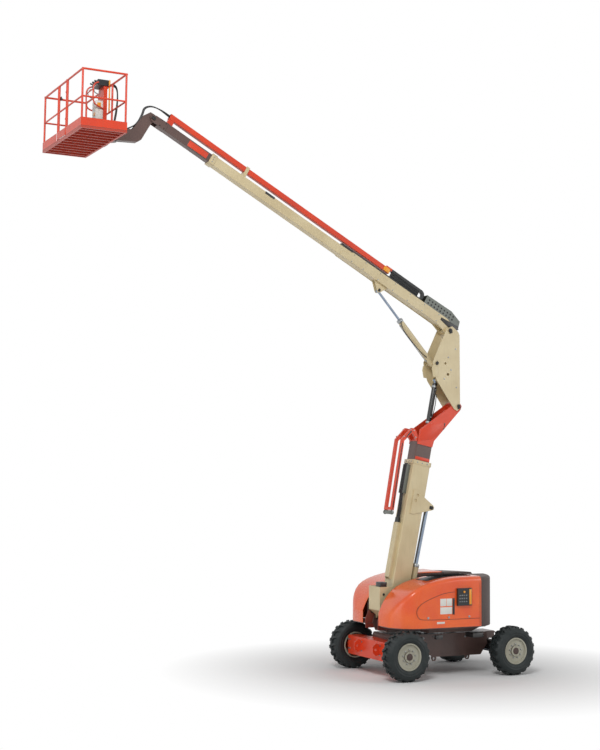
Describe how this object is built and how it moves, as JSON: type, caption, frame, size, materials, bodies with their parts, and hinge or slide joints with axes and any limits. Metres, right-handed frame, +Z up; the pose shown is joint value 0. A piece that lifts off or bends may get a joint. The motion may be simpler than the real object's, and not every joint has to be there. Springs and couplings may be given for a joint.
{
  "type": "articulating boom lift",
  "caption": "Self-propelled articulating boom lift: four-wheel chassis, swinging turntable, telescopic tower, upright, telescopic main boom and a railed work platform.",
  "frame": {"origin": "on the ground under the turntable's swing centre, midway between the axles", "axes": "+Z up, +X from the swing centre towards the steering axle and counterweight, so the main boom points to -X and the near side of the picture is -Y"},
  "size_m": [9.8279, 2.46, 11.2639],
  "materials": {
    "orange_paint": "satin",
    "tan_paint": "satin",
    "brown_paint": "satin",
    "black_paint": "satin",
    "grey_paint": "satin",
    "rim_paint": "satin",
    "casting": "satin",
    "engine_iron": "matte",
    "steel": "polished",
    "tyre": "matte",
    "chain_plastic": "matte",
    "pad_plastic": "matte",
    "black_plastic": "gloss"
  },
  "bodies": {
    "chassis": {"chassis_frame": "brown_paint", "fixed_axle": "orange_paint", "steer_axle": "black_paint", "steer_cylinder": "steel", "swing_bearing": "steel"},
    "knuckle_near": {"knuckle_near": "black_paint"},
    "knuckle_far": {"knuckle_far": "black_paint"},
    "turntable": {"turntable_base": "brown_paint", "foot_block": "tan_paint", "counterweight": "casting", "channel_walls": "brown_paint", "engine_block": "engine_iron"},
    "hood_near": {"hood_near": "orange_paint", "louvre_cover": "black_plastic", "control_box": "black_plastic"},
    "hood_far": {"hood_far": "orange_paint"},
    "tower": {"tower_base": "tan_paint", "tower_gussets": "tan_paint", "tower_trough": "tan_paint", "tower_chain": "chain_plastic", "tower_pads": "pad_plastic"},
    "tower_fly": {"tower_fly": "orange_paint", "crank_arm": "orange_paint", "chain_guards": "orange_paint", "level_barrel": "black_paint"},
    "lift_barrel": {"lift_barrel": "tan_paint"},
    "lift_rod": {"lift_rod": "steel"},
    "level_rod": {"level_rod": "steel"},
    "upright": {"upright": "tan_paint"},
    "upper_barrel": {"upper_barrel": "tan_paint"},
    "upper_rod": {"upper_rod": "steel"},
    "boom": {"boom_base": "tan_paint", "boom_rear_cover": "grey_paint", "boom_chain": "chain_plastic", "boom_pads": "pad_plastic"},
    "boom_fly": {"boom_fly": "orange_paint", "push_tube": "orange_paint"},
    "platform_support": {"platform_support": "brown_paint"},
    "platform": {"turn_bracket": "brown_paint", "platform_floor": "black_paint", "toe_boards": "orange_paint", "rail_near": "orange_paint", "rail_far": "orange_paint", "rail_inner": "orange_paint", "rail_outer": "orange_paint", "console": "black_plastic", "console_column": "orange_paint"},
    "gate": {"gate": "orange_paint"},
    "wheel_fixed_near": {"tyre_fixed_near": "tyre", "rim_fixed_near": "rim_paint"},
    "wheel_fixed_far": {"tyre_fixed_far": "tyre", "rim_fixed_far": "rim_paint"},
    "wheel_steer_near": {"tyre_steer_near": "tyre", "rim_steer_near": "rim_paint"},
    "wheel_steer_far": {"tyre_steer_far": "tyre", "rim_steer_far": "rim_paint"}
  },
  "joints": [
    {"name": "fixed_near_spin", "type": "hinge", "parent": "chassis", "child": "wheel_fixed_near", "pos_m": [-1.25, -1.055, 0.485], "axis": [0, 1, 0], "continuous": true},
    {"name": "fixed_far_spin", "type": "hinge", "parent": "chassis", "child": "wheel_fixed_far", "pos_m": [-1.25, 1.055, 0.485], "axis": [0, 1, 0], "continuous": true},
    {"name": "steer_near", "type": "hinge", "parent": "chassis", "child": "knuckle_near", "pos_m": [1.25, -0.8, 0.5], "axis": [0, 0, 1], "range_deg": [-40, 40]},
    {"name": "steer_far", "type": "hinge", "parent": "chassis", "child": "knuckle_far", "pos_m": [1.25, 0.8, 0.5], "axis": [0, 0, 1], "range_deg": [-40, 40]},
    {"name": "steer_near_spin", "type": "hinge", "parent": "knuckle_near", "child": "wheel_steer_near", "pos_m": [1.25, -1.055, 0.485], "axis": [0, 1, 0], "continuous": true},
    {"name": "steer_far_spin", "type": "hinge", "parent": "knuckle_far", "child": "wheel_steer_far", "pos_m": [1.25, 1.055, 0.485], "axis": [0, 1, 0], "continuous": true},
    {"name": "swing", "type": "hinge", "parent": "chassis", "child": "turntable", "pos_m": [0, 0, 0.85], "axis": [0, 0, 1], "range_deg": [-180, 180]},
    {"name": "hood_near", "type": "hinge", "parent": "turntable", "child": "hood_near", "pos_m": [0, -0.31, 1.985], "axis": [-1, 0, 0], "range_deg": [0, 60]},
    {"name": "hood_far", "type": "hinge", "parent": "turntable", "child": "hood_far", "pos_m": [0, 0.31, 1.985], "axis": [1, 0, 0], "range_deg": [0, 60]},
    {"name": "tower_lift", "type": "hinge", "parent": "turntable", "child": "tower", "pos_m": [-1.06, 0, 1.64], "axis": [0, -1, 0], "range_deg": [-82, 2]},
    {"name": "tower_extend", "type": "slide", "parent": "tower", "child": "tower_fly", "axis": [0.1942, 0, 0.981], "range_m": [-0.3, 1.1]},
    {"name": "lift_barrel_turn", "type": "hinge", "parent": "turntable", "child": "lift_barrel", "pos_m": [-0.62, 0, 1.06], "axis": [0, -1, 0], "range_deg": [-83.25, 2.52]},
    {"name": "lift_rod_slide", "type": "slide", "parent": "lift_barrel", "child": "lift_rod", "axis": [0.2229, 0, 0.9748], "range_m": [-0.96, 0.0283]},
    {"name": "level_rod_slide", "type": "slide", "parent": "tower_fly", "child": "level_rod", "axis": [0.1942, 0, 0.981], "range_m": [-0.9261, 0.0275]},
    {"name": "upright_level", "type": "hinge", "parent": "tower_fly", "child": "upright", "pos_m": [0.55289, 0, 5.40951], "axis": [0, -1, 0], "range_deg": [-2.5, 82.5]},
    {"name": "boom_lift", "type": "hinge", "parent": "upright", "child": "boom", "pos_m": [0.343, 0, 6.984], "axis": [0, 1, 0], "range_deg": [-28.3, 43.7]},
    {"name": "boom_extend", "type": "slide", "parent": "boom", "child": "boom_fly", "axis": [-0.8805, 0, 0.4741], "range_m": [-0.75, 3.05], "deforming": ["boom_chain"]},
    {"name": "upper_barrel_turn", "type": "hinge", "parent": "upright", "child": "upper_barrel", "pos_m": [0.01, 0, 6.281], "axis": [0, 1, 0], "range_deg": [-23.71, 36.33]},
    {"name": "upper_rod_slide", "type": "slide", "parent": "upper_barrel", "child": "upper_rod", "axis": [-0.6716, 0, 0.7409], "range_m": [-0.3359, 0.516]},
    {"name": "platform_level", "type": "hinge", "parent": "boom_fly", "child": "platform_support", "pos_m": [-6.30122, 0, 10.67512], "axis": [0, 1, 0], "range_deg": [-44.2, 28.8]},
    {"name": "platform_turn", "type": "hinge", "parent": "platform_support", "child": "platform", "pos_m": [-7.105, 0, 10.3], "axis": [0, 0, 1], "range_deg": [-90, 90]},
    {"name": "gate", "type": "hinge", "parent": "platform", "child": "gate", "pos_m": [-8.066, -0.226, 10.6], "axis": [0, 0, -1], "range_deg": [0, 90]}
  ],
  "couplings": [
    {"joint": "steer_far", "follows": "steer_near", "ratio": 1},
    {"joint": "lift_barrel_turn", "follows": "tower_lift", "ratio": 1.0092},
    {"joint": "lift_rod_slide", "follows": "tower_lift", "m_per_rad": 0.66725},
    {"joint": "level_rod_slide", "follows": "tower_lift", "m_per_rad": 0.6436},
    {"joint": "upright_level", "follows": "tower_lift", "ratio": -1},
    {"joint": "upper_barrel_turn", "follows": "boom_lift", "ratio": 0.82},
    {"joint": "upper_rod_slide", "follows": "boom_lift", "m_per_rad": 0.67},
    {"joint": "platform_level", "follows": "boom_lift", "ratio": -1}
  ]
}
